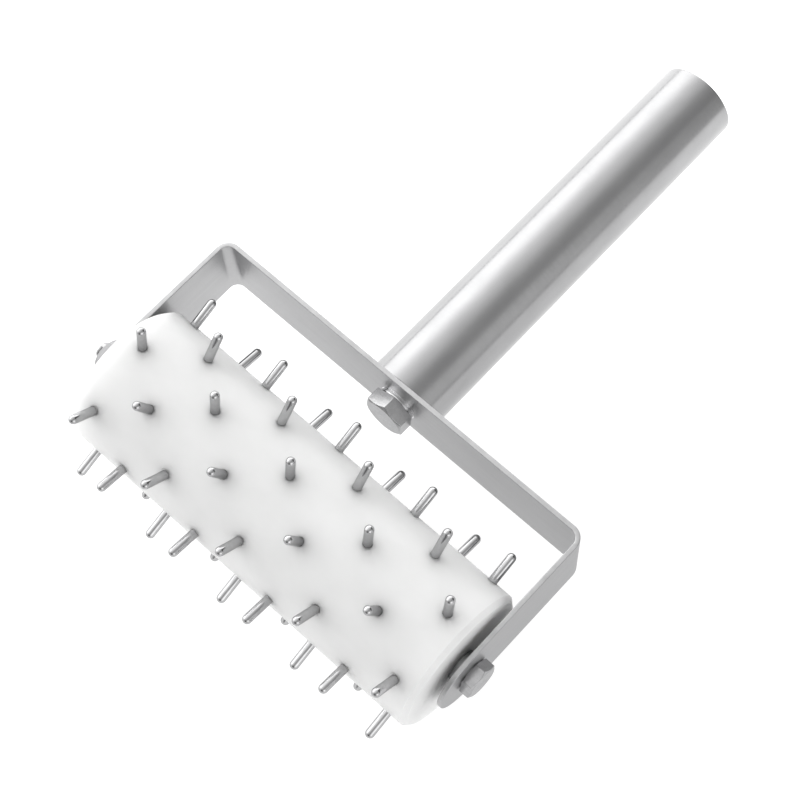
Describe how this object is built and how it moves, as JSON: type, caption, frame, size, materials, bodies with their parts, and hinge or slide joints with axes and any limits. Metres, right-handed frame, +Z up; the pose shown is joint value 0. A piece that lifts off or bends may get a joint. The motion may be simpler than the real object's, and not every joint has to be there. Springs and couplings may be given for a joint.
{
  "type": "dough docker",
  "caption": "Hand tool with a white plastic roller set with rows of domed steel pins, turning in a bent steel strip bracket on a straight tube handle.",
  "frame": {"origin": "on the surface that the tool lies on, under the centre of its box", "axes": "+X along the roller to the right, +Y from the roller to the end of the handle, +Z up from the surface"},
  "size_m": [0.1504, 0.2132, 0.0631],
  "materials": {
    "roller_plastic": "smooth satin white",
    "pin_steel": "polished",
    "strip_steel": "satin, brushed along the strip",
    "tube_steel": "brushed along the tube",
    "bolt_steel": "bright"
  },
  "bodies": {
    "frame": {"bracket": "strip_steel", "axle_rod": "bolt_steel", "axle_bolt_left": "bolt_steel", "axle_nut_left": "bolt_steel", "axle_bolt_right": "bolt_steel", "handle_bolt": "bolt_steel", "spring_washer": "pin_steel", "handle_thread_plug": "bolt_steel", "handle_tube": "tube_steel", "handle_end_plug": "tube_steel"},
    "roller": {"roller_body": "roller_plastic", "pin_row_01": "pin_steel", "pin_row_02": "pin_steel", "pin_row_03": "pin_steel", "pin_row_04": "pin_steel", "pin_row_05": "pin_steel", "pin_row_06": "pin_steel", "pin_row_07": "pin_steel", "pin_row_08": "pin_steel", "pin_row_09": "pin_steel", "pin_row_10": "pin_steel", "pin_row_11": "pin_steel", "pin_row_12": "pin_steel"}
  },
  "joints": [
    {"name": "roller_spin", "type": "hinge", "parent": "frame", "child": "roller", "pos_m": [0.00175, -0.0751, 0.03154], "axis": [1, 0, 0], "continuous": true}
  ]
}
